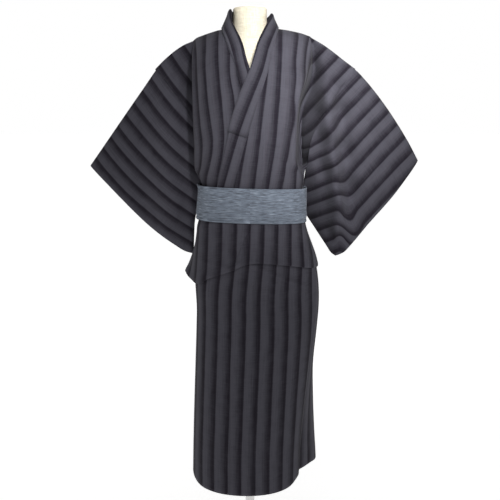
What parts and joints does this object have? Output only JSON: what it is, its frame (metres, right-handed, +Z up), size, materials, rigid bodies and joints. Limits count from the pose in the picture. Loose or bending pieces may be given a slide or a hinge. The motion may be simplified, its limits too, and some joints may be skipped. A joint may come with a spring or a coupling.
{
  "type": "cotton yukata robe on a dress form",
  "caption": "Striped cotton yukata robe, crossed left over right with a flat sash and a waist fold, on a limbless dress form with a stand.",
  "frame": {"origin": "middle of the underside of the round stand base, on the floor", "axes": "+Z up, the robe's front faces -Y, the wearer's left is +X"},
  "size_m": [1.007, 0.32, 1.637],
  "materials": {
    "striped_cotton": "matte",
    "sash_cloth": "matte",
    "cream_linen": "matte",
    "painted_steel": "satin"
  },
  "bodies": {
    "root": {"body_right": "striped_cotton", "body_left": "striped_cotton", "skirt_right": "striped_cotton", "skirt_left": "striped_cotton", "okumi_right": "striped_cotton", "okumi_left": "striped_cotton", "sleeve_right": "striped_cotton", "sleeve_left": "striped_cotton", "sleeve_left_end": "striped_cotton", "collar": "striped_cotton", "collar_cover": "striped_cotton", "obi_wrap": "sash_cloth", "obi_knot": "sash_cloth", "dress_form": "cream_linen", "stand_pole": "painted_steel", "stand_base": "painted_steel"}
  },
  "joints": []
}
